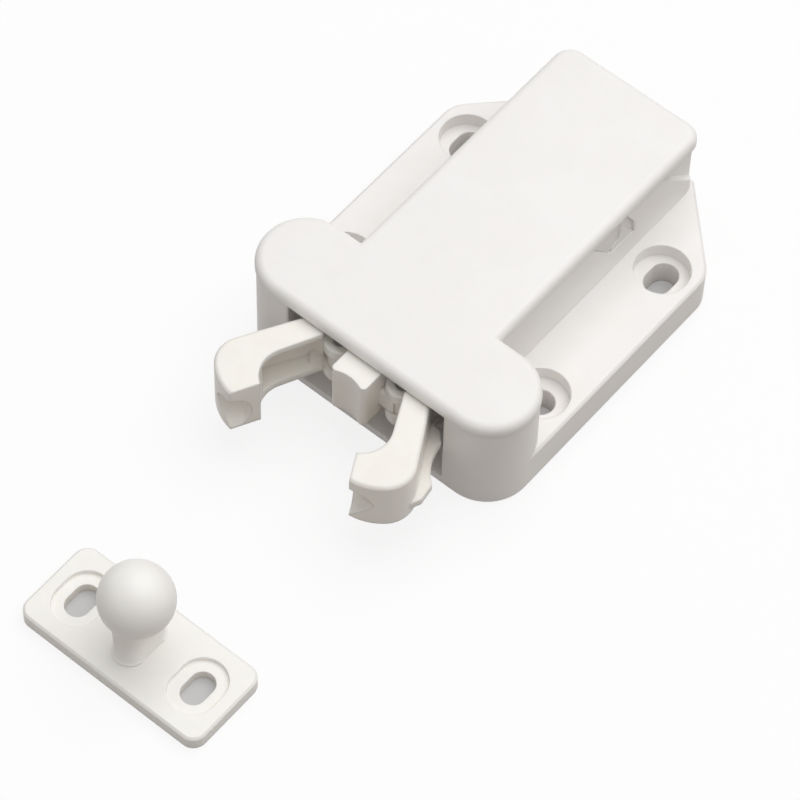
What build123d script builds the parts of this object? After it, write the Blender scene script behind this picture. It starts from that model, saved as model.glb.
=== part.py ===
from build123d import *
import math
import os

os.makedirs("parts", exist_ok=True)

# Push-to-open touch catch for a cabinet door, with its ball striker.
# Millimetres. X across the catch, Y from the mouth (0) to the back, Z up from the screwed-down face.

# casing
total_height = 20.0
cover_thickness = 2.0
cover_bottom = total_height - cover_thickness
bar_depth = 14.8
bar_half_length = 24.6
bar_end_radius = bar_depth / 2
neck_half_width = 13.05
neck_end = 62.75
neck_corner_radius = 3.0
cover_edge = 0.5
wall_set_in = 0.2
wall_thickness = 1.9
plate_thickness = 7.0
plate_chamfer_start = 50.2
plate_corner_radius = 5.0
floor_thickness = 1.8
mouth_half_width = 14.5
lobe_centre_x = bar_half_length - bar_end_radius
lobe_centre_y = bar_depth / 2
lobe_radius = bar_end_radius - wall_set_in
plate_half_width = lobe_centre_x + lobe_radius
neck_wall_x = neck_half_width - wall_set_in
neck_wall_end = neck_end - wall_set_in
neck_inner = neck_wall_x - wall_thickness
bar_wall_front = wall_set_in
bar_wall_back = bar_depth - wall_set_in
neck_inner_end = neck_wall_end - 2.2
cut_back_start = 52.2
cut_back_depth = 1.4
window_y = 41.0
tongue_thickness = 1.35
tongue_gap = 0.03
pocket_y = 32.3

# screw holes
screw_x = 18.6
screw_front_y = 18.0
screw_rear_y = 46.6
screw_hole_radius = 2.2
screw_slot_length = 6.0
counterbore_radius = 4.35
counterbore_depth = 2.4

# travel of the carriage and swing of the jaws
slide_travel = 10.0
jaw_swing = 20.0
latched_travel = 8.5

# jaw pivots
pivot_x = 5.85
pivot_y = 2.0
pin_radius = 1.25
pin_fit = 0.04
knuckle_radius = 2.65
ear_radius = 2.0

# jaws
jaw_bottom = 8.1
jaw_top = cover_bottom - 0.5
jaw_flange = 1.2
jaw_middle = (jaw_bottom + jaw_top) / 2
lower_knuckle_top = jaw_bottom + 2.0
upper_knuckle_top = jaw_top - 1.9
upper_knuckle_bottom = upper_knuckle_top - 1.9
rib_bottom = 9.5
rib_top = 10.8
rib_clearance = 0.12
hook_outer_radius = 4.6
hook_front_radius = 9.0
hook_tip = (11.1, -16.4)
hook_heel = (8.9, -12.25)
hollow_radius = 3.8
hollow_rim = 0.25
hollow_slope = 49.0
stud_x = 2.8
stud_y = 2.8
stud_radius = 0.9
stud_bottom = 5.1
tail_radius = 1.35
guide_top = 7.6
guide_groove = 2.1
guide_groove_depth = 2.8

# carriage
nose_half_width = 3.1
nose_front = -3.65
nose_bottom = 8.0
ball_radius = 5.6
ball_clearance = 0.15
notch_depth = 0.5
body_front = 8.3
body_back = 36.0
body_bottom = 2.0
body_half_width = neck_inner - 0.12
rail_width = 2.0
rail_top = cover_bottom - 0.3
body_top = rail_top - 2.2
keel_half_width = 5.6

# push-push track and its wire
track_depth = 1.5
track_width = 1.7
wire_radius = 0.6
wire_pivot_y = 55.0
wire_tip_y = 27.0
wire_swing = 6.0
wire_height = body_top + 0.8
pad_y = 33.0

# return spring
spring_axis_z = body_top - 6.5
spring_mean_radius = 3.3
spring_wire_radius = 0.4
spring_front = 21.0
spring_pocket_radius = 4.2
spring_coils = 6

# striker
striker_y = -48.7
striker_length = 33.5
striker_width = 14.7
striker_thickness = 2.5
striker_ball_radius = 5.6
striker_ball_height = 14.5
striker_stem_width = 4.7
striker_stem_length = 8.6
striker_slot_x = 10.9


# outline of a side window in Y and Z, run up past the cover's underside
window_outline = [
    (window_y - 6.0, cover_bottom + 1.0),
    (window_y - 0.1, cover_bottom - 6.2),
    (window_y + 5.8, cover_bottom - 6.6),
    (window_y + 5.7, cover_bottom - 4.2),
    (window_y + 3.9, cover_bottom - 1.2),
    (window_y + 2.6, cover_bottom + 1.0),
]


def jaw_turned(travel):
    """Angle of a jaw, in radians, at this travel of the carriage."""
    return math.radians(jaw_swing) * travel / slide_travel


# casing outline shared by base and cover: bar with round ends and a neck behind it
with BuildPart() as base:
    with BuildSketch(Plane.XY):
        with BuildLine():
            Polyline(
                (-plate_half_width, lobe_centre_y),
                (plate_half_width, lobe_centre_y),
                (plate_half_width, plate_chamfer_start),
                (neck_wall_x - 0.6, neck_wall_end),
                (-neck_wall_x + 0.6, neck_wall_end),
                (-plate_half_width, plate_chamfer_start),
                close=True,
            )
        make_face()
        plate_corners = [v for v in vertices() if abs(v.Y - plate_chamfer_start) < 0.01]
        fillet(plate_corners, radius=plate_corner_radius)
        with Locations((0, lobe_centre_y)):
            SlotOverall(2 * plate_half_width, 2 * lobe_radius)
    extrude(amount=plate_thickness)
    chamfer(edges().group_by(Axis.Z)[-1].filter_by(lambda e: e.center().Y > 20), length=0.4)
    # counterbored screw holes, the rear pair slotted for adjustment
    with Locations(*[(x, screw_front_y, plate_thickness) for x in (-screw_x, screw_x)]):
        CounterBoreHole(screw_hole_radius, counterbore_radius, counterbore_depth, depth=plate_thickness)
    with Locations(*[(x, screw_rear_y, plate_thickness) for x in (-screw_x, screw_x)]):
        Hole(counterbore_radius, depth=counterbore_depth)
    with BuildSketch(Plane.XY):
        with Locations(*[(x, screw_rear_y) for x in (-screw_x, screw_x)]):
            SlotOverall(screw_slot_length, 2 * screw_hole_radius, rotation=90)
    extrude(amount=plate_thickness, mode=Mode.SUBTRACT)
    # walls up to the cover
    with BuildSketch(Plane.XY.offset(floor_thickness)):
        with Locations((0, lobe_centre_y)):
            SlotOverall(2 * plate_half_width, 2 * lobe_radius)
        with BuildSketch(mode=Mode.PRIVATE) as neck_outline:
            with Locations((0, lobe_centre_y)):
                Rectangle(2 * neck_wall_x, neck_wall_end - lobe_centre_y, align=(Align.CENTER, Align.MIN))
            neck_back = neck_outline.vertices().group_by(Axis.Y)[-1]
            fillet(neck_back, radius=neck_corner_radius - wall_set_in)
        add(neck_outline.sketch)
    extrude(amount=cover_bottom - floor_thickness)
    # eased lower rim
    chamfer(edges().group_by(Axis.Z)[0].filter_by(GeomType.CIRCLE).filter_by(lambda e: e.radius > 4.6), length=0.3)
    # inside: the wide mouth in the bar and the long slideway in the neck
    with BuildSketch(Plane.XY.offset(floor_thickness)):
        with Locations((0, -2)):
            Rectangle(2 * mouth_half_width, bar_wall_back + 2 - wall_thickness, align=(Align.CENTER, Align.MIN))
            Rectangle(2 * neck_inner, neck_inner_end + 2, align=(Align.CENTER, Align.MIN))
    extrude(amount=total_height, mode=Mode.SUBTRACT)
    # hollow end lobes, each with a socket for a peg of the cover
    with BuildSketch(Plane.XY.offset(floor_thickness)):
        with Locations(*[(x, lobe_centre_y) for x in (-lobe_centre_x, lobe_centre_x)]):
            Circle(lobe_radius - wall_thickness)
            Circle(2.4, mode=Mode.SUBTRACT)
        with Locations((0, lobe_centre_y)):
            Rectangle(2 * (mouth_half_width + wall_thickness), bar_depth, mode=Mode.SUBTRACT)
    extrude(amount=total_height, mode=Mode.SUBTRACT)
    with Locations(*[(x, lobe_centre_y, cover_bottom) for x in (-lobe_centre_x, lobe_centre_x)]):
        Hole(1.3, depth=8)
    # raised guides on the floor, whose grooves swing the jaws through the studs under them
    for side in (-1, 1):
        guide_path = []
        for step in range(-1, 13):
            travel = slide_travel * step / 10
            turn = jaw_turned(travel)
            along_x = stud_x * math.cos(turn) + stud_y * math.sin(turn)
            along_y = stud_y * math.cos(turn) - stud_x * math.sin(turn)
            guide_path.append((side * (pivot_x + along_x), pivot_y + travel + along_y))
        with BuildSketch(Plane.XY.offset(floor_thickness)):
            with Locations((side * (6.3 + neck_inner) / 2, 3.4)):
                Rectangle(neck_inner - 6.3, 13.0, align=(Align.CENTER, Align.MIN))
        extrude(amount=guide_top - floor_thickness)
        with BuildSketch(Plane.XY.offset(guide_top - guide_groove_depth)):
            with BuildLine():
                Spline(*guide_path)
            trace(line_width=guide_groove)
        extrude(amount=guide_groove_depth, mode=Mode.SUBTRACT)
    # peg that carries the return spring
    with BuildSketch(Plane.XZ.offset(-neck_inner_end)):
        with Locations((0, spring_axis_z)):
            Circle(2.3)
    extrude(amount=9)
    # windows for the cover's tongues and cut-backs at the rear of the neck
    with BuildSketch(Plane.YZ.offset(-neck_wall_x - 1)):
        with BuildLine():
            Polyline(*window_outline, close=True)
        make_face()
    extrude(amount=2 * neck_wall_x + 2, mode=Mode.SUBTRACT)
    for side in (-1, 1):
        with BuildSketch(Plane.YZ.offset(side * (neck_wall_x - cut_back_depth))):
            with BuildLine():
                Polyline(
                    (cut_back_start, cover_bottom),
                    (neck_end, cover_bottom - (neck_end - cut_back_start)),
                    (neck_end, cover_bottom),
                    close=True,
                )
            make_face()
        extrude(amount=side * 3, mode=Mode.SUBTRACT)
    # weight-saving pockets in the underside of the plate
    with BuildSketch(Plane.XY):
        with Locations(*[(x, y) for x in (-screw_x, screw_x) for y in (pocket_y - 4, pocket_y + 4)]):
            Rectangle(7.6, 6.4)
    extrude(amount=plate_thickness - 2.0, mode=Mode.SUBTRACT)
    # eased edges of the mouth
    mouth_edges = edges().filter_by(Axis.Z).filter_by(lambda e: abs(abs(e.center().X) - mouth_half_width) < 0.01)
    chamfer(mouth_edges.filter_by(lambda e: e.center().Y < 1), length=0.2)
base.part.label = "base"
export_step(base.part, "parts/base.step")

with BuildPart() as cover:
    with BuildSketch(Plane.XY.offset(cover_bottom)):
        with Locations((0, bar_depth / 2)):
            SlotOverall(2 * bar_half_length, bar_depth)
        with BuildSketch(mode=Mode.PRIVATE) as neck_top:
            with Locations((0, bar_depth / 2)):
                Rectangle(2 * neck_half_width, neck_end - bar_depth / 2, align=(Align.CENTER, Align.MIN))
            fillet(neck_top.vertices().group_by(Axis.Y)[-1], radius=neck_corner_radius)
        add(neck_top.sketch)
    extrude(amount=cover_thickness)
    # top edge eased in two slopes
    chamfer(faces().sort_by(Axis.Z)[-1].edges(), length=cover_edge)
    chamfer(faces().sort_by(Axis.Z)[-1].edges(), length=cover_edge / 3)
    # six-sided pegs in the end lobes
    with BuildSketch(Plane.XY.offset(cover_bottom)):
        with Locations(*[(x, lobe_centre_y) for x in (-lobe_centre_x, lobe_centre_x)]):
            RegularPolygon(1.25, 6)
    extrude(amount=-6)
    # tongues that close the side windows, with a snap wedge on each
    for side in (-1, 1):
        with BuildSketch(Plane.YZ.offset(side * (neck_inner + 0.1))):
            with BuildLine():
                Polyline(*window_outline, close=True)
            make_face()
            offset(amount=-tongue_gap, kind=Kind.INTERSECTION, mode=Mode.REPLACE)
        extrude(amount=side * tongue_thickness)
        with BuildSketch(Plane.YZ.offset(side * (neck_inner + 0.1 + tongue_thickness))):
            with BuildLine():
                Polyline(
                    (window_y + 0.4, cover_bottom - 5.9),
                    (window_y + 2.2, cover_bottom - 4.6),
                    (window_y + 2.4, cover_bottom - 3.1),
                    (window_y + 2.3, cover_bottom - 1.6),
                    (window_y + 5.4, cover_bottom - 6.0),
                    close=True,
                )
            make_face()
        extrude(amount=side * (wall_thickness - tongue_thickness - 0.25))
    # boss on which the track wire turns, and a pad that keeps the wire down
    with BuildSketch(Plane.XY.offset(cover_bottom)):
        with Locations((0, wire_pivot_y)):
            Circle(2.4)
        with Locations((0, pad_y)):
            Rectangle(10, 5)
    extrude(amount=-(cover_bottom - wire_height - wire_radius - 0.08))
    with BuildSketch(Plane.XY.offset(total_height - 0.9)):
        with Locations((0, wire_pivot_y)):
            Circle(wire_radius + 0.06)
    extrude(amount=wire_height + wire_radius - total_height, mode=Mode.SUBTRACT)
cover.part.label = "cover"
export_step(cover.part, "parts/cover.step")

with BuildPart() as carriage:
    # nose that the ball presses, hollowed to fit it
    with BuildSketch(Plane.XY.offset(nose_bottom)):
        with Locations((0, nose_front)):
            Rectangle(2 * nose_half_width, body_front + 1 - nose_front, align=(Align.CENTER, Align.MIN))
        fillet(vertices().group_by(Axis.Y)[0], radius=0.6)
        with Locations((0, nose_front + notch_depth - ball_radius)):
            Circle(ball_radius, mode=Mode.SUBTRACT)
    extrude(amount=jaw_top - nose_bottom)
    # ears between the knuckles of the jaws
    with BuildSketch(Plane.XY.offset(lower_knuckle_top + 0.15)):
        with Locations((-pivot_x, pivot_y), (pivot_x, pivot_y)):
            Circle(ear_radius)
        with Locations((0, pivot_y - 0.5)):
            Rectangle(2 * pivot_x, 2 * ear_radius - 0.4)
        with Locations((0, pivot_y)):
            Rectangle(2 * pivot_x, body_front - pivot_y + 1, align=(Align.CENTER, Align.MIN))
    extrude(amount=upper_knuckle_bottom - lower_knuckle_top - 0.3)
    # sliding body with side rails, a keel between the floor guides and runners behind them
    with BuildSketch(Plane.XY.offset(nose_bottom)):
        with Locations((0, body_front)):
            Rectangle(2 * body_half_width, body_back - body_front, align=(Align.CENTER, Align.MIN))
    extrude(amount=body_top - nose_bottom)
    with BuildSketch(Plane.XY.offset(body_bottom)):
        with Locations((0, 10)):
            Rectangle(2 * keel_half_width, body_back - 10, align=(Align.CENTER, Align.MIN))
        for side in (-1, 1):
            with Locations((side * (body_half_width - rail_width / 2), 17)):
                Rectangle(rail_width, body_back - 17, align=(Align.CENTER, Align.MIN))
    extrude(amount=nose_bottom - body_bottom)
    with BuildSketch(Plane.XY.offset(body_top)):
        for side in (-1, 1):
            with Locations((side * (body_half_width - rail_width / 2), body_front)):
                Rectangle(rail_width, body_back - body_front, align=(Align.CENTER, Align.MIN))
    extrude(amount=rail_top - body_top)
    # pocket for the return spring
    with BuildSketch(Plane.XZ.offset(-body_back)):
        with Locations((0, spring_axis_z)):
            Circle(spring_pocket_radius)
    extrude(amount=body_back - spring_front, mode=Mode.SUBTRACT)
    # heart-shaped track: out along one lane, held in the notch, home along the other
    wire_length = wire_pivot_y - wire_tip_y
    lane = []
    for step in range(-1, 12):
        travel = slide_travel * step / 10
        turn = math.radians(wire_swing) * travel / slide_travel
        lane.append((wire_length * math.sin(turn), wire_pivot_y - wire_length * math.cos(turn) - travel))
    with BuildSketch(Plane.XY.offset(body_top - track_depth)):
        with BuildLine():
            Spline(*lane)
        trace(line_width=track_width)
        with BuildLine():
            Polyline(lane[-1], (0.9, 19.4), (-3.3, 15.8), (-2.9, 21.5), lane[1])
        trace(line_width=track_width)
    extrude(amount=track_depth, mode=Mode.SUBTRACT)
    # bores for the jaw pins
    with Locations((-pivot_x, pivot_y, upper_knuckle_bottom), (pivot_x, pivot_y, upper_knuckle_bottom)):
        Hole(pin_radius + pin_fit, depth=upper_knuckle_bottom - lower_knuckle_top)
carriage.part.label = "carriage"
export_step(carriage.part, "parts/carriage.step")

# hollow in the end of a jaw's hook: round above, with a ramp that climbs into the jaw from a thin lower rim
with BuildPart() as hollow:
    tip_width = math.dist(hook_tip, hook_heel)
    outward_x = (hook_tip[1] - hook_heel[1]) / tip_width
    outward_y = (hook_heel[0] - hook_tip[0]) / tip_width
    climb = math.radians(hollow_slope)
    with Locations((hook_tip[0] + 0.2, hook_tip[1] - 0.4, jaw_bottom + hollow_radius - 0.5)):
        Sphere(hollow_radius)
    ramp = Plane(
        origin=(*hook_tip, jaw_bottom + hollow_rim),
        z_dir=(outward_x * math.sin(climb), outward_y * math.sin(climb), math.cos(climb)),
    )
    split(bisect_by=ramp, keep=Keep.TOP)

with BuildPart() as jaw_right:
    with BuildSketch(Plane.XY.offset(jaw_bottom)):
        with BuildLine():
            outer_arm = Line((11.6, 0.8), (16.9, -8.4))
            outer_hook = RadiusArc(outer_arm @ 1, (15.9, -14.2), hook_outer_radius)
            hook_front = RadiusArc(outer_hook @ 1, hook_tip, hook_front_radius)
            hook_end = Line(hook_front @ 1, hook_heel)
            inner_hook = ThreePointArc(hook_end @ 1, (10.9, -9.7), (10.6, -6.2))
            Polyline((10.6, -6.2), (7.6, -0.1), (8.3, 2.2), (10.9, 2.2), (11.6, 0.8))
        make_face()
    extrude(amount=jaw_top - jaw_bottom)
    # eased upper shoulder on the outside
    shoulder = edges().group_by(Axis.Z)[-1].filter_by(lambda e: e.center().X > 13.5)
    chamfer(shoulder, length=0.4)
    # channel that opens towards the ball
    with BuildSketch(Plane.XY.offset(jaw_bottom + jaw_flange)):
        with BuildLine():
            Polyline(
                (6.0, -0.2), (8.4, 0.9), (10.0, 0.9), (14.7, -7.3), (14.1, -9.5), (12.4, -10.2), (9.6, -8.6),
                close=True,
            )
        make_face()
        fillet(vertices().filter_by(lambda v: v.X > 12), radius=1.0)
    extrude(amount=jaw_top - jaw_bottom - 2 * jaw_flange, mode=Mode.SUBTRACT)
    # knuckles above and below the carriage ear, the lower one with a tail for the guide stud
    with BuildSketch(Plane.XY.offset(jaw_bottom)):
        with Locations((pivot_x, pivot_y)):
            Circle(knuckle_radius)
        with Locations((pivot_x + stud_x, pivot_y + stud_y)):
            Circle(tail_radius)
        with BuildLine():
            Polyline(
                (pivot_x, pivot_y), (8.2, 0.4), (9.5, -1.0), (11.2, 1.4), (9.8, 4.5), (8.6, 6.1), (5.0, 4.5),
                close=True,
            )
        make_face()
    extrude(amount=lower_knuckle_top - jaw_bottom)
    with BuildSketch(Plane.XY.offset(upper_knuckle_bottom)):
        with Locations((pivot_x, pivot_y)):
            Circle(knuckle_radius)
        with BuildLine():
            Polyline((pivot_x, pivot_y), (8.2, 0.8), (10.2, 0.6), (10.9, 2.2), (9.0, 3.6), (5.85, 4.6), close=True)
        make_face()
    extrude(amount=upper_knuckle_top - upper_knuckle_bottom)
    # clear the ear
    with BuildSketch(Plane.XY.offset(lower_knuckle_top)):
        with Locations((pivot_x, pivot_y)):
            Circle(knuckle_radius)
    extrude(amount=upper_knuckle_bottom - lower_knuckle_top, mode=Mode.SUBTRACT)
    # rib along the lower outside, shaped to roll in past the mouth's edge as the carriage goes home
    rib_edge = []
    for step in range(0, 11, 2):
        travel = slide_travel * step / 10
        turn = jaw_turned(travel)
        reach_x = mouth_half_width - rib_clearance - pivot_x
        reach_y = bar_wall_front - pivot_y - travel
        edge_x = reach_x * math.cos(turn) - reach_y * math.sin(turn)
        edge_y = reach_x * math.sin(turn) + reach_y * math.cos(turn)
        rib_edge.append((pivot_x + edge_x, pivot_y + edge_y))
    with BuildSketch(Plane.XY.offset(rib_bottom)):
        with BuildLine():
            Spline(*rib_edge)
            Polyline(rib_edge[-1], (18.3, -9.0), (17.6, -10.6), (16.4, -10.8), (14.8, -6.5), (11.0, 0.5), (11.2, 1.9),
                     (13.2, 1.7), rib_edge[0])
        make_face()
    extrude(amount=rib_top - rib_bottom)
    # seat for the ball, cut with the jaw in its latched place
    closed_turn = math.degrees(jaw_turned(latched_travel))
    with Locations(Location((pivot_x, pivot_y, jaw_middle), (0, 0, closed_turn))):
        with Locations(Location((-pivot_x, nose_front + notch_depth - ball_radius - pivot_y, 0))):
            Sphere(ball_radius + ball_clearance, mode=Mode.SUBTRACT)
    # hollow in the end of the hook
    add(hollow.part, mode=Mode.SUBTRACT)
    # guide stud and pin bore
    with BuildSketch(Plane.XY.offset(stud_bottom)):
        with Locations((pivot_x + stud_x, pivot_y + stud_y)):
            Circle(stud_radius)
    extrude(amount=jaw_bottom - stud_bottom + 0.5)
    with Locations((pivot_x, pivot_y, upper_knuckle_top)):
        Hole(pin_radius + pin_fit, depth=upper_knuckle_top - jaw_bottom)
jaw_right.part.label = "jaw_right"
export_step(jaw_right.part, "parts/jaw_right.step")

with BuildPart() as jaw_left:
    mirror(jaw_right.part, about=Plane.YZ)
jaw_left.part.label = "jaw_left"
export_step(jaw_left.part, "parts/jaw_left.step")

with BuildPart() as jaw_pin_right:
    with BuildSketch(Plane.XY.offset(jaw_bottom)):
        with Locations((pivot_x, pivot_y)):
            Circle(pin_radius)
    extrude(amount=upper_knuckle_top - jaw_bottom)
jaw_pin_right.part.label = "jaw_pin_right"
export_step(jaw_pin_right.part, "parts/jaw_pin_right.step")

with BuildPart() as jaw_pin_left:
    mirror(jaw_pin_right.part, about=Plane.YZ)
jaw_pin_left.part.label = "jaw_pin_left"
export_step(jaw_pin_left.part, "parts/jaw_pin_left.step")

with BuildPart() as track_wire:
    with BuildLine() as wire_line:
        Polyline(
            (0, wire_tip_y, body_top - track_depth),
            (0, wire_tip_y, wire_height),
            (0, wire_pivot_y, wire_height),
            (0, wire_pivot_y, total_height - 1.1),
        )
    with BuildSketch(Plane.XY.offset(body_top - track_depth)):
        with Locations((0, wire_tip_y)):
            RegularPolygon(wire_radius, 8)
    sweep(path=wire_line.line, transition=Transition.RIGHT)
track_wire.part.label = "track_wire"
export_step(track_wire.part, "parts/track_wire.step")

with BuildPart() as return_spring:
    spring_start = spring_front + spring_wire_radius + 0.02
    spring_length = neck_inner_end - spring_wire_radius - 0.02 - spring_start
    spring_points = []
    for step in range(12 * spring_coils + 1):
        turn = math.radians(30 * step)
        spring_points.append((
            spring_mean_radius * math.cos(turn),
            spring_start + spring_length * step / (12 * spring_coils),
            spring_axis_z + spring_mean_radius * math.sin(turn),
        ))
    with BuildLine() as coil:
        Polyline(*spring_points)
    with BuildSketch(Plane(origin=coil.line @ 0, z_dir=coil.line % 0)):
        RegularPolygon(spring_wire_radius, 3)
    sweep(path=coil.line, transition=Transition.RIGHT)
return_spring.part.label = "return_spring"
export_step(return_spring.part, "parts/return_spring.step")

with BuildPart() as striker:
    with BuildSketch(Plane.XY):
        with Locations((0, striker_y)):
            RectangleRounded(striker_length, striker_width, 2.2)
    extrude(amount=striker_thickness)
    chamfer(faces().sort_by(Axis.Z)[-1].edges(), length=0.35)
    # shallow oblong recesses with slots
    with BuildSketch(Plane.XY.offset(striker_thickness - 0.7)):
        with Locations((-striker_slot_x, striker_y), (striker_slot_x, striker_y)):
            SlotOverall(9.6, 7.5, rotation=90)
    extrude(amount=2, mode=Mode.SUBTRACT)
    with BuildSketch(Plane.XY):
        with Locations((-striker_slot_x, striker_y), (striker_slot_x, striker_y)):
            SlotOverall(5.8, 3.9, rotation=90)
    extrude(amount=striker_thickness, mode=Mode.SUBTRACT)
    # flat-sided stem, flared into the plate, and the ball
    with BuildSketch(Plane.XY.offset(striker_thickness - 0.2)):
        with Locations((0, striker_y)):
            SlotOverall(striker_stem_length, striker_stem_width, rotation=90)
    extrude(amount=striker_ball_height - striker_thickness)
    foot = edges().filter_by(lambda e: abs(e.center().Z - striker_thickness) < 0.01)
    chamfer(foot.filter_by(lambda e: abs(e.center().X) < 4 and abs(e.center().Y - striker_y) < 5), length=0.6)
    with Locations((0, striker_y, striker_ball_height)):
        Sphere(striker_ball_radius)
striker.part.label = "striker"
export_step(striker.part, "parts/striker.step")
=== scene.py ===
import math
import bmesh
import bpy
from mathutils import Matrix, Vector


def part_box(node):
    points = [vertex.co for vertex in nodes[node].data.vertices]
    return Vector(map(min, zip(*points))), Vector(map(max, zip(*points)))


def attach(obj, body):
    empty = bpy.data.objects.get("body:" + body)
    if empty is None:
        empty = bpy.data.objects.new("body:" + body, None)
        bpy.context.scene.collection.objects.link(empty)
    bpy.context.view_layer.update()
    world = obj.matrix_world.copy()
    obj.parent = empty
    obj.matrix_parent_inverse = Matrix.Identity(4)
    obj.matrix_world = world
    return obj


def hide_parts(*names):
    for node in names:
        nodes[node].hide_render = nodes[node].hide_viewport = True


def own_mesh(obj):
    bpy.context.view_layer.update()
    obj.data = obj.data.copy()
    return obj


# Push-to-open touch catch with its ball striker: moulded plastics, spring, wire, pins and a plain studio.

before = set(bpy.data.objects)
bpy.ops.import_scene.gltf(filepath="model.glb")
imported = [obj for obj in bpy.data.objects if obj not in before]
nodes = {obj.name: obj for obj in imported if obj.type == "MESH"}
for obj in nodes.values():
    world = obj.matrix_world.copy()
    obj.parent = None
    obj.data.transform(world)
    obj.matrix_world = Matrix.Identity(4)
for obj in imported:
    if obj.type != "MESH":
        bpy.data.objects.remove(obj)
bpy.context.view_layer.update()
scene = bpy.context.scene
mm = 0.001
print("catch: frame loaded with", len(nodes), "nodes")


class Socket:
    # an output that can be added, multiplied and so on like a number
    def __init__(self, maker, output):
        self.maker = maker
        self.output = output

    def __add__(self, other):
        return self.maker.maths("ADD", self, other)

    def __radd__(self, other):
        return self.maker.maths("ADD", other, self)

    def __sub__(self, other):
        return self.maker.maths("SUBTRACT", self, other)

    def __rsub__(self, other):
        return self.maker.maths("SUBTRACT", other, self)

    def __mul__(self, other):
        return self.maker.maths("MULTIPLY", self, other)

    def __rmul__(self, other):
        return self.maker.maths("MULTIPLY", other, self)

    def __truediv__(self, other):
        return self.maker.maths("DIVIDE", self, other)

    def __rtruediv__(self, other):
        return self.maker.maths("DIVIDE", other, self)


class NodeMaker:
    # makes and links the nodes of one shader, world or geometry tree
    def __init__(self, tree):
        self.tree = tree

    def add(self, kind, settings=None, sockets=None, output=0):
        node = self.tree.nodes.new(kind)
        for name, value in (settings or {}).items():
            if name == "stops":
                self.setStops(node.color_ramp, value)
            else:
                setattr(node, name, value)
        for key, value in (sockets or {}).items():
            if isinstance(value, Socket):
                self.tree.links.new(value.output, node.inputs[key])
            else:
                node.inputs[key].default_value = value
        if not node.outputs:
            return node
        return Socket(self, node.outputs[output])

    def setStops(self, ramp, stops):
        while len(ramp.elements) < len(stops):
            ramp.elements.new(0.5)
        for element, (position, grey) in zip(ramp.elements, stops):
            element.position = position
            element.color = (grey, grey, grey, 1)

    def maths(self, operation, *values):
        return self.add("ShaderNodeMath", {"operation": operation}, dict(enumerate(values)))

    def mixColours(self, factor, first, second):
        return self.add("ShaderNodeMix", {"data_type": "RGBA"}, {0: factor, 6: first, 7: second}, output=2)

    def part(self, place, axis):
        return self.add("ShaderNodeSeparateXYZ", sockets={0: place}, output=axis)


def emptyMaterial(name):
    material = bpy.data.materials.new(name)
    material.use_nodes = True
    material.node_tree.nodes.clear()
    return material, NodeMaker(material.node_tree)


# moulded plastic: cloudy tone from the melt, spark-eroded skin, softly rounded edges made a little paler by
# a painted highlight
moulding = {
    "cloud": {"Detail": 4.0, "Roughness": 0.55, "Distortion": 0.6},
    "speck": {"Detail": 2.0, "Roughness": 0.6},
    "skin": {"Detail": 3.0, "Roughness": 0.65},
    "speckDensity": 0.3,  # against the grain of the skin
    "toneStops": [(0.34, 0.0), (0.66, 1.0)],
    "cloudInTone": 0.75,
    "speckInGloss": 0.6,
    "edgeSharpness": 3.0,
    "edgeShare": 0.6,
    "bevelSamples": 6,
    "refraction": 1.49,
    "glowThrough": 0.25,
}
casePlastic = moulding | {
    "name": "casePlastic",
    "pale": (0.915, 0.895, 0.876, 1),
    "deep": (0.888, 0.865, 0.842, 1),
    # edge: painted highlight colour for the rounded edges
    "edge": (0.932, 0.915, 0.9, 1),
    "cloudSize": 9 * mm,
    "skinSize": 0.16 * mm,
    "skinDepth": 0.0035 * mm,
    "edgeRadius": 0.3 * mm,
    "roughness": (0.36, 0.46),
    "glowReach": 1.2 * mm,
    "glowTint": (1.0, 0.93, 0.86),
}
coverPlastic = casePlastic | {
    "name": "coverPlastic",
    "edgeRadius": 0.2 * mm,
    "tongueDrop": 2.02 * mm,  # pegs and snap tongues start this far below the cover's top
    # painted shade: how much darker the pegs and tongues are made
    "tongueShade": 0.93,
}
movingPlastic = moulding | {
    "name": "movingPlastic",
    "pale": (0.94, 0.913, 0.858, 1),
    "deep": (0.905, 0.872, 0.808, 1),
    # edge: painted highlight colour for the rounded edges
    "edge": (0.945, 0.925, 0.88, 1),
    "cloudSize": 5 * mm,
    "skinSize": 0.13 * mm,
    "skinDepth": 0.003 * mm,
    "edgeRadius": 0.35 * mm,
    "roughness": (0.32, 0.42),
    "glowReach": 1.0 * mm,
    "glowTint": (1.0, 0.88, 0.76),
}
jawPlastic = movingPlastic | {
    "name": "jawPlastic",
    "edgeRadius": 0.6 * mm,
}
strikerPlastic = movingPlastic | {
    "name": "strikerPlastic",
    "pale": (0.955, 0.933, 0.895, 1),
    "deep": (0.93, 0.903, 0.858, 1),
    "edgeRadius": 0.14 * mm,
}
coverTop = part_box("cover")[1][2]


def shadeTongues(maker, place, colour, look):
    # painted shade: a tone darker below the cover's plate, where only its pegs and tongues are, standing in
    # for the shade in the wall's windows
    onTongue = maker.maths("LESS_THAN", maker.part(place, "Z"), coverTop - look["tongueDrop"])
    shaded = tuple(look["tongueShade"] * channel for channel in look["deep"][:3]) + (1,)
    return maker.mixColours(onTongue, colour, shaded)


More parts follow.
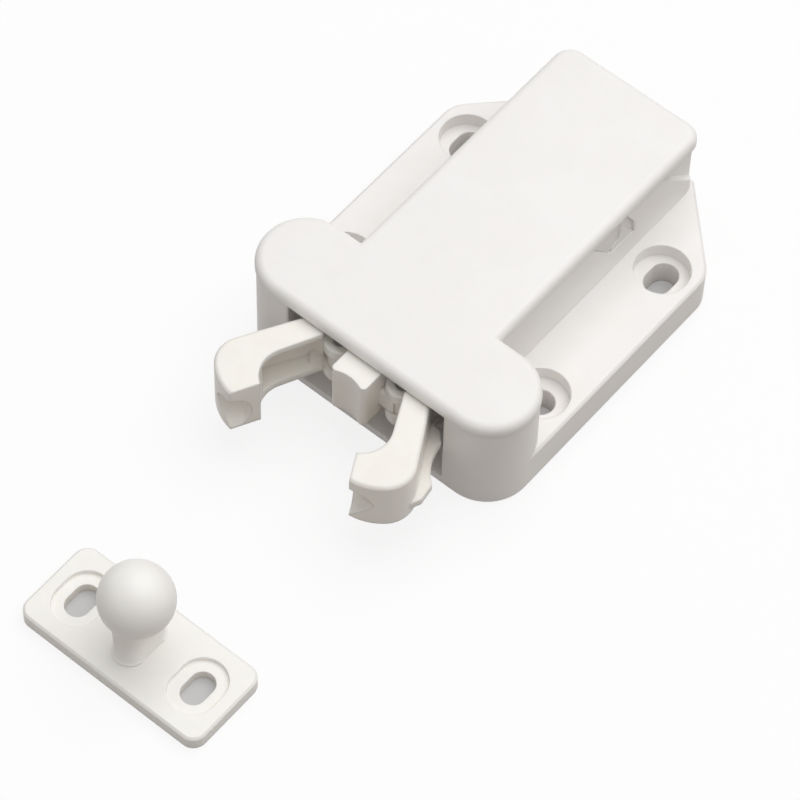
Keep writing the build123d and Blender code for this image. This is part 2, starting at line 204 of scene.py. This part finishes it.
def mouldedPlastic(look):
    material, maker = emptyMaterial(look["name"])
    place = maker.add("ShaderNodeTexCoord", output="Object")

    def noise(kind, scale):
        return maker.add("ShaderNodeTexNoise", sockets={"Vector": place, "Scale": scale} | look[kind])

    cloud = noise("cloud", 1 / look["cloudSize"])
    speck = noise("speck", look["speckDensity"] / look["skinSize"])
    skin = noise("skin", 1 / look["skinSize"])
    rounded = maker.add("ShaderNodeBevel", {"samples": look["bevelSamples"]}, {"Radius": look["edgeRadius"]})
    flat = maker.add("ShaderNodeNewGeometry", output="Normal")
    facing = maker.add("ShaderNodeVectorMath", {"operation": "DOT_PRODUCT"}, {
        0: rounded, 1: flat}, output="Value")
    # painted highlight: edges made paler where the rounded normal turns away from the flat one
    edge = maker.maths("MINIMUM", (1 - facing) * look["edgeSharpness"], 1.0)
    tone = maker.add("ShaderNodeValToRGB", {"stops": look["toneStops"]}, {"Fac": cloud})
    blend = tone * look["cloudInTone"] + speck * (1 - look["cloudInTone"])
    body = maker.mixColours(blend, look["deep"], look["pale"])
    colour = maker.mixColours(edge * look["edgeShare"], body, look["edge"])
    if "tongueShade" in look:
        colour = shadeTongues(maker, place, colour, look)
    low, high = look["roughness"]
    gloss = look["speckInGloss"] * speck + (1 - look["speckInGloss"]) * cloud
    relief = maker.add("ShaderNodeBump", sockets={
        "Strength": 1.0, "Distance": look["skinDepth"], "Height": skin, "Normal": rounded})
    shader = maker.add("ShaderNodeBsdfPrincipled", sockets={
        "Base Color": colour, "Roughness": low + (high - low) * gloss, "Normal": relief,
        "IOR": look["refraction"], "Subsurface Weight": look["glowThrough"],
        "Subsurface Scale": look["glowReach"], "Subsurface Radius": look["glowTint"]})
    maker.add("ShaderNodeOutputMaterial", sockets={"Surface": shader})
    return material


# ground pins and drawn spring wire: fine lines along or round the piece
steel = {
    "lineDetail": 3.0,
    "stainScale": 900.0,
    "stainDetail": 2.0,
    "linesInTone": 0.6,
    "reliefStrength": 0.7,
}
pinSteel = steel | {
    "name": "pinSteel",
    "pale": (0.66, 0.66, 0.67, 1),
    "deep": (0.5, 0.5, 0.51, 1),
    "lines": (400, 400, 9000),  # lines per metre along each axis
    "lineDepth": 0.002 * mm,
    "roughness": (0.22, 0.38),
}
springSteel = steel | {
    "name": "springSteel",
    "pale": (0.58, 0.575, 0.57, 1),
    "deep": (0.36, 0.355, 0.35, 1),
    "lines": (5200, 700, 5200),
    "lineDepth": 0.003 * mm,
    "roughness": (0.26, 0.45),
}


def linedSteel(look):
    material, maker = emptyMaterial(look["name"])
    place = maker.add("ShaderNodeTexCoord", output="Object")
    stretched = maker.add("ShaderNodeMapping", {"vector_type": "POINT"}, {
        "Vector": place, "Scale": look["lines"]})
    lines = maker.add("ShaderNodeTexNoise", sockets={
        "Vector": stretched, "Scale": 1.0, "Detail": look["lineDetail"]})
    stain = maker.add("ShaderNodeTexNoise", sockets={
        "Vector": place, "Scale": look["stainScale"], "Detail": look["stainDetail"]})
    blend = look["linesInTone"] * lines + (1 - look["linesInTone"]) * stain
    colour = maker.mixColours(blend, look["deep"], look["pale"])
    low, high = look["roughness"]
    relief = maker.add("ShaderNodeBump", sockets={
        "Strength": look["reliefStrength"], "Distance": look["lineDepth"], "Height": lines})
    shader = maker.add("ShaderNodeBsdfPrincipled", sockets={
        "Base Color": colour, "Roughness": low + (high - low) * stain, "Normal": relief, "Metallic": 1.0})
    maker.add("ShaderNodeOutputMaterial", sockets={"Surface": shader})
    return material


materials = {
    "case": mouldedPlastic(casePlastic),
    "cover": mouldedPlastic(coverPlastic),
    "moving": mouldedPlastic(movingPlastic),
    "jaw": mouldedPlastic(jawPlastic),
    "striker": mouldedPlastic(strikerPlastic),
    "pin": linedSteel(pinSteel),
    "spring": linedSteel(springSteel),
}
finishOf = {
    "base": "case",
    "carriage": "moving",
    "jaw_left": "jaw",
    "jaw_right": "jaw",
    "jaw_pin_left": "pin",
    "jaw_pin_right": "pin",
}
for nodeName, finish in finishOf.items():
    for materialSlot in nodes[nodeName].material_slots:
        materialSlot.material = materials[finish]
print("catch: plastics and steels made")


# lid: the cover with its rim rolled over in a full soft round; underside, pegs and tongues stay as they are
lid = {
    "rimRadius": 1.4 * mm,
    "rimSteps": 8,
    "wallLeft": 0.3 * mm,  # upright wall kept between the cut and the round
    "nearby": 0.05 * mm,
}
# for the lid and the striker
copying = {
    "touching": 0.001 * mm,
    "sharpAngle": math.radians(28),
}


def mergedCopy(node):
    # a solid's mesh with its loose triangles joined, ready for a change of shape
    mesh = node.data.copy()
    if "custom_normal" in mesh.attributes:
        mesh.attributes.remove(mesh.attributes["custom_normal"])
    form = bmesh.new()
    form.from_mesh(mesh)
    bmesh.ops.remove_doubles(form, verts=form.verts, dist=copying["touching"])
    return form, mesh


def cutTopOff(form, height):
    # splits the walls at this height and deletes what hangs together with the highest face
    bmesh.ops.bisect_plane(form, geom=form.verts[:] + form.edges[:] + form.faces[:],
                           plane_co=(0, 0, height), plane_no=(0, 0, 1))
    highest = max(form.faces, key=lambda face: face.calc_center_median().z)
    doomed = {highest}
    waiting = [highest]
    while waiting:
        for edge in waiting.pop().edges:
            for face in edge.link_faces:
                if face not in doomed and face.calc_center_median().z > height:
                    doomed.add(face)
                    waiting.append(face)
    bmesh.ops.delete(form, geom=list(doomed), context="FACES")


def openRing(form):
    # vertices round the open edge, anticlockwise seen from above
    edge = next(edge for edge in form.edges if edge.is_boundary)
    first, vert = edge.verts
    ring = [first]
    while vert != first:
        ring.append(vert)
        edge = next(other for other in vert.link_edges if other.is_boundary and other != edge)
        vert = edge.other_vert(vert)
    area = sum(a.co.x * b.co.y - b.co.x * a.co.y for a, b in zip(ring, ring[1:] + ring[:1]))
    return ring if area > 0 else ring[::-1]


def inwardMoves(ring):
    # how far each vertex goes for an inset of one, with every side kept parallel to itself
    moves = []
    for before, here, after in zip(ring[-1:] + ring[:-1], ring, ring[1:] + ring[:1]):
        first = Vector((before.co.y - here.co.y, here.co.x - before.co.x, 0)).normalized()
        second = Vector((here.co.y - after.co.y, after.co.x - here.co.x, 0)).normalized()
        moves.append((first + second) / (1 + first.dot(second)))
    return moves


def rollRim(form, top, radius, steps):
    # rings of a quarter round, from the wall up to the flat top, and the flat top itself
    lower = openRing(form)
    outline = [vert.co.copy() for vert in lower]
    moves = inwardMoves(lower)
    for step in range(steps + 1):
        angle = step / steps * math.pi / 2
        inset = radius * (1 - math.cos(angle))
        height = top - radius + radius * math.sin(angle)
        upper = [form.verts.new((spot.x + move.x * inset, spot.y + move.y * inset, height))
                 for spot, move in zip(outline, moves)]
        for index, vert in enumerate(upper):
            form.faces.new((lower[index - 1], lower[index], vert, upper[index - 1]))
        lower = upper
    bmesh.ops.remove_doubles(form, verts=lower, dist=lid["nearby"])  # where narrow corner strips have met
    rim = [edge for edge in form.edges if edge.is_boundary]
    bmesh.ops.triangle_fill(form, use_beauty=True, edges=rim, normal=(0, 0, 1))


def standIn(name, form, mesh, finish):
    # a new piece made of the changed shape, smooth but for its sharp corners
    form.to_mesh(mesh)
    form.free()
    mesh.shade_smooth()
    mesh.set_sharp_from_angle(angle=copying["sharpAngle"])
    mesh.materials.clear()
    mesh.materials.append(materials[finish])
    piece = bpy.data.objects.new(name, mesh)
    scene.collection.objects.link(piece)
    return piece


def makeLid():
    form, mesh = mergedCopy(nodes["cover"])
    cutTopOff(form, coverTop - lid["rimRadius"] - lid["wallLeft"])
    rollRim(form, coverTop, lid["rimRadius"], lid["rimSteps"])
    shell = standIn("lid_shell", form, mesh, "cover")
    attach(shell, "case")
    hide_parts("cover")


makeLid()
print("catch: lid rim rolled")


# striker: the stem's foot drawn in to a small flare, everything else as the solid has it
stem = {
    "halfWidth": 2.35 * mm,
    "halfLength": 4.3 * mm,
    "plateTop": 2.5 * mm,
    "plateNear": 0.01 * mm,
    "footReach": 0.7 * mm,  # the foot's outline lies within this distance of the stem's sides
    "flare": 0.15 * mm,
}


def makeStriker():
    form, mesh = mergedCopy(nodes["striker"])
    low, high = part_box("striker")
    middle = (low[1] + high[1]) / 2
    straight = stem["halfLength"] - stem["halfWidth"]
    for vert in form.verts:
        along = max(-straight, min(straight, vert.co.y - middle))
        spine = Vector((0, middle + along, vert.co.z))
        away = vert.co - spine
        onPlate = abs(vert.co.z - stem["plateTop"]) < stem["plateNear"]
        if onPlate and away.length < stem["halfWidth"] + stem["footReach"]:
            vert.co = spine + away.normalized() * (stem["halfWidth"] + stem["flare"])
    piece = standIn("ball_striker", form, mesh, "striker")
    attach(piece, "case")
    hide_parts("striker")


makeStriker()
print("catch: striker's foot drawn in")


# return spring: a compression coil of round wire with closed ends, drawn by a node tree
coil = {
    "meanRadius": 3.3 * mm,
    "wireRadius": 0.4 * mm,
    "turns": 12.0,
    "closedTurns": 1.25,  # at each end
    "closedPitch": 2.02,  # in wire radii, so that closed turns just clear each other
    "axisHeight": 9 * mm,  # above the case's underside
    "travel": 10 * mm,  # how far the carriage squashes it
    "steps": 480,
    "around": 10,
}


def newGeometryTree(name, inputs):
    tree = bpy.data.node_groups.new(name, "GeometryNodeTree")
    for label, kind, value in inputs:
        entry = tree.interface.new_socket(name=label, in_out="INPUT", socket_type=kind)
        entry.default_value = value
    tree.interface.new_socket(name="Geometry", in_out="OUTPUT", socket_type="NodeSocketGeometry")
    maker = NodeMaker(tree)
    source = maker.add("NodeGroupInput").output.node
    given = {output.name: Socket(maker, output) for output in source.outputs if output.name}
    return tree, maker, given


def finishTree(maker, tube, material):
    made = maker.add("GeometryNodeSetShadeSmooth", sockets={"Geometry": tube})
    painted = maker.add("GeometryNodeSetMaterial", sockets={"Geometry": made, "Material": material})
    real = maker.add("GeometryNodeRealizeInstances", sockets={"Geometry": painted})
    maker.add("NodeGroupOutput", sockets={0: real})


def plainMeshFrom(name, tree, values, material):
    # runs the tree once and keeps its result as an ordinary mesh
    holder = bpy.data.objects.new(name, bpy.data.meshes.new(name))
    scene.collection.objects.link(holder)
    holder.data.materials.append(material)
    modifier = holder.modifiers.new(name, "NODES")
    modifier.node_group = tree
    for entry in tree.interface.items_tree:
        if entry.in_out == "INPUT" and entry.name in values:
            modifier[entry.identifier] = values[entry.name]
    bpy.context.view_layer.update()
    evaluated = holder.evaluated_get(bpy.context.evaluated_depsgraph_get())
    mesh = bpy.data.meshes.new_from_object(evaluated)
    holder.modifiers.remove(modifier)
    holder.data = mesh
    mesh.materials.clear()
    mesh.materials.append(material)
    return holder


def coilTree(material):
    tree, maker, given = newGeometryTree("coilSpring", [
        ("Mean Radius", "NodeSocketFloat", coil["meanRadius"]),
        ("Wire Radius", "NodeSocketFloat", coil["wireRadius"]),
        ("Start", "NodeSocketFloat", 0.0),
        ("Length", "NodeSocketFloat", 0.0),
        ("Axis Height", "NodeSocketFloat", coil["axisHeight"]),
        ("Turns", "NodeSocketFloat", coil["turns"]),
        ("Closed Turns", "NodeSocketFloat", coil["closedTurns"]),
        ("Steps", "NodeSocketInt", coil["steps"]),
        ("Around", "NodeSocketInt", coil["around"]),
    ])
    line = maker.add("GeometryNodeCurvePrimitiveLine", {"mode": "POINTS"})
    points = maker.add("GeometryNodeResampleCurve", {"mode": "COUNT"}, {
        "Curve": line, "Count": given["Steps"]})
    index = maker.add("GeometryNodeInputIndex")
    turned = index / (given["Steps"] - 1) * given["Turns"]
    closedPitch = given["Wire Radius"] * coil["closedPitch"]
    closed = given["Closed Turns"]
    openTurns = given["Turns"] - 2 * closed
    openPitch = (given["Length"] - 2 * given["Wire Radius"] - 2 * closed * closedPitch) / openTurns
    first = maker.maths("MINIMUM", turned, closed) * closedPitch
    middle = maker.maths("MINIMUM", maker.maths("MAXIMUM", turned - closed, 0.0), openTurns) * openPitch
    last = maker.maths("MAXIMUM", turned - closed - openTurns, 0.0) * closedPitch
    along = given["Start"] + given["Wire Radius"] + first + middle + last
    angle = turned * (2 * math.pi)
    across = maker.maths("COSINE", angle) * given["Mean Radius"]
    height = maker.maths("SINE", angle) * given["Mean Radius"] + given["Axis Height"]
    spot = maker.add("ShaderNodeCombineXYZ", sockets={0: across, 1: along, 2: height})
    helix = maker.add("GeometryNodeSetPosition", sockets={"Geometry": points, "Position": spot})
    section = maker.add("GeometryNodeCurvePrimitiveCircle", sockets={
        "Resolution": given["Around"], "Radius": given["Wire Radius"]})
    tube = maker.add("GeometryNodeCurveToMesh", sockets={
        "Curve": helix, "Profile Curve": section, "Fill Caps": True})
    finishTree(maker, tube, material)
    return tree


def makeSpring():
    low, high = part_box("return_spring")
    length = high[1] - low[1]
    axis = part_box("base")[0][2] + coil["axisHeight"]
    piece = plainMeshFrom("return_coil", coilTree(materials["spring"]), {
        "Start": low[1], "Length": length, "Axis Height": axis}, materials["spring"])
    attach(piece, "case")
    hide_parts("return_spring")
    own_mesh(piece)


makeSpring()
print("catch: return spring wound")


# track wire: round wire bent down at one end into the track and up at the other into the cover
bentWire = {
    "radius": 0.6 * mm,
    "bend": 0.9 * mm,
    "bendSteps": 8,
    "around": 14,
    "sunk": 1.4 * mm,  # middle of the long part, below the carriage's top
}


def wireTree(material):
    tree, maker, given = newGeometryTree("bentWire", [
        ("Front", "NodeSocketFloat", 0.0),
        ("Back", "NodeSocketFloat", 0.0),
        ("Bottom", "NodeSocketFloat", 0.0),
        ("Top", "NodeSocketFloat", 0.0),
        ("Level", "NodeSocketFloat", 0.0),
        ("Radius", "NodeSocketFloat", bentWire["radius"]),
        ("Bend", "NodeSocketFloat", bentWire["bend"]),
    ])
    line = maker.add("GeometryNodeCurvePrimitiveLine", {"mode": "POINTS"})
    # four corners: tip in the track, front bend, back bend, head in the cover
    points = maker.add("GeometryNodeResampleCurve", {"mode": "COUNT"}, {"Curve": line, "Count": 4})
    index = maker.add("GeometryNodeInputIndex")
    atTip = maker.maths("LESS_THAN", index, 0.5)
    atBack = maker.maths("GREATER_THAN", index, 1.5)
    atHead = maker.maths("GREATER_THAN", index, 2.5)
    along = given["Front"] + atBack * (given["Back"] - given["Front"])
    drop = atTip * (given["Level"] - given["Bottom"])
    rise = atHead * (given["Top"] - given["Level"])
    spot = maker.add("ShaderNodeCombineXYZ", sockets={0: 0.0, 1: along, 2: given["Level"] - drop + rise})
    placed = maker.add("GeometryNodeSetPosition", sockets={"Geometry": points, "Position": spot})
    bent = maker.add("GeometryNodeFilletCurve", {"mode": "POLY"}, {
        "Curve": placed, "Radius": given["Bend"], "Count": bentWire["bendSteps"]})
    section = maker.add("GeometryNodeCurvePrimitiveCircle", sockets={
        "Resolution": bentWire["around"], "Radius": given["Radius"]})
    tube = maker.add("GeometryNodeCurveToMesh", sockets={
        "Curve": bent, "Profile Curve": section, "Fill Caps": True})
    finishTree(maker, tube, material)
    return tree


def makeWire():
    low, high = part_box("track_wire")
    piece = plainMeshFrom("track_rod", wireTree(materials["spring"]), {
        "Front": low[1] + bentWire["radius"],
        "Back": high[1] - bentWire["radius"],
        "Bottom": low[2],
        "Top": high[2],
        "Level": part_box("carriage")[1][2] - bentWire["sunk"],
    }, materials["spring"])
    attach(piece, "track_wire")
    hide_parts("track_wire")


makeWire()
print("catch: track wire bent")


# studio: white floor and surround, one large soft lamp high up and a little behind
studio = {
    "floorReach": 3.0,
    "floorColour": (0.97, 0.97, 0.97, 1),
    "bounceColour": (0.31, 0.265, 0.23, 1),  # what the floor throws back on the catch
    "shadowShare": 0.18,
    "hiddenShadeColour": (0.525, 0.525, 0.525, 1),  # painted shade: darker floor that only shows through the screw holes and slots, standing in for their shade
    "hiddenGlow": 0.145,
    "hiddenPatches": [
        ((0, 27 * mm), (22 * mm, 23.5 * mm)),  # under the case: middle and half size
        ((0, -48.7 * mm), (14 * mm, 5 * mm)),  # under the striker
    ],
    "skyStrength": 0.46,
    "keyDirection": (0.11, 0.33, 1.0),
    "keyDistance": 1.3,
    "keySize": 1.5,
    "keyPower": 12.3,
}


def seenDirectly(maker):
    # 1 for rays that come straight from the camera, a gloss or something clear, 0 for the rest
    camera, glossy, clear = [
        maker.add("ShaderNodeLightPath", output=kind)
        for kind in ("Is Camera Ray", "Is Glossy Ray", "Is Transmission Ray")]
    return maker.maths("MINIMUM", camera + glossy + clear, 1.0)


def insidePatch(maker, place, middle, half):
    across, along = [
        maker.maths("COMPARE", maker.part(place, axis), centre, reach)
        for axis, centre, reach in zip("XY", middle, half)]
    return across * along


def floorPaper():
    material, maker = emptyMaterial("floorPaper")
    seen = seenDirectly(maker)
    place = maker.add("ShaderNodeTexCoord", output="Object")
    # painted shade under the case and the striker, seen only through their holes
    hidden = sum(insidePatch(maker, place, *patch) for patch in studio["hiddenPatches"])
    shown = maker.mixColours(hidden, studio["floorColour"], studio["hiddenShadeColour"])
    colour = maker.mixColours(seen, studio["bounceColour"], shown)
    paper = maker.add("ShaderNodeBsdfDiffuse", sockets={"Color": colour})
    glow = maker.add("ShaderNodeEmission", sockets={"Color": (1, 1, 1, 1), "Strength": 1.0})
    glowing = seen * ((1 - hidden) * (1 - studio["shadowShare"]) + hidden * studio["hiddenGlow"])
    mixed = maker.add("ShaderNodeMixShader", sockets={0: glowing, 1: paper, 2: glow})
    maker.add("ShaderNodeOutputMaterial", sockets={"Surface": mixed})
    return material


def makeFloor():
    reach = studio["floorReach"]
    corners = [(-reach, -reach, 0), (reach, -reach, 0), (reach, reach, 0), (-reach, reach, 0)]
    mesh = bpy.data.meshes.new("floor")
    mesh.from_pydata(corners, [], [(0, 1, 2, 3)])
    mesh.materials.append(floorPaper())
    floor = bpy.data.objects.new("floor", mesh)
    scene.collection.objects.link(floor)


def makeWorld():
    world = bpy.data.worlds.new("surround")
    scene.world = world
    world.use_nodes = True
    world.node_tree.nodes.clear()
    maker = NodeMaker(world.node_tree)
    seen = seenDirectly(maker)
    strength = studio["skyStrength"] + seen * (1 - studio["skyStrength"])
    light = maker.add("ShaderNodeBackground", sockets={"Color": (1, 1, 1, 1), "Strength": strength})
    maker.add("ShaderNodeOutputWorld", sockets={"Surface": light})


def makeKeyLamp():
    towards = Vector(studio["keyDirection"]).normalized()
    lamp = bpy.data.lights.new("key", "AREA")
    lamp.shape = "SQUARE"
    lamp.size = studio["keySize"]
    lamp.energy = studio["keyPower"]
    holder = bpy.data.objects.new("key", lamp)
    scene.collection.objects.link(holder)
    holder.location = towards * studio["keyDistance"]
    holder.rotation_euler = towards.to_track_quat("Z", "Y").to_euler()


makeFloor()
makeWorld()
makeKeyLamp()
scene.view_settings.view_transform = "Standard"
print("catch: studio lit")


# camera: long lens, looking down on the front right of the catch
camera = {
    "place": (0.20369, -0.250146, 0.508929),
    "right": (0.768148, 0.640023, 0.017873),
    "up": (-0.545721, 0.639857, 0.541084),
    "lens": 185.692,
    "sensor": 36.0,
    "nearest": 0.01,
    "farthest": 20.0,
}


def makeCamera():
    data = bpy.data.cameras.new("camera")
    data.sensor_width = camera["sensor"]
    data.lens = camera["lens"]
    data.clip_start = camera["nearest"]
    data.clip_end = camera["farthest"]
    holder = bpy.data.objects.new("camera", data)
    scene.collection.objects.link(holder)
    right = Vector(camera["right"])
    up = Vector(camera["up"])
    turn = Matrix((right, up, right.cross(up))).transposed()
    holder.matrix_world = Matrix.Translation(camera["place"]) @ turn.to_4x4()
    scene.camera = holder


makeCamera()
print("catch: camera placed, done")
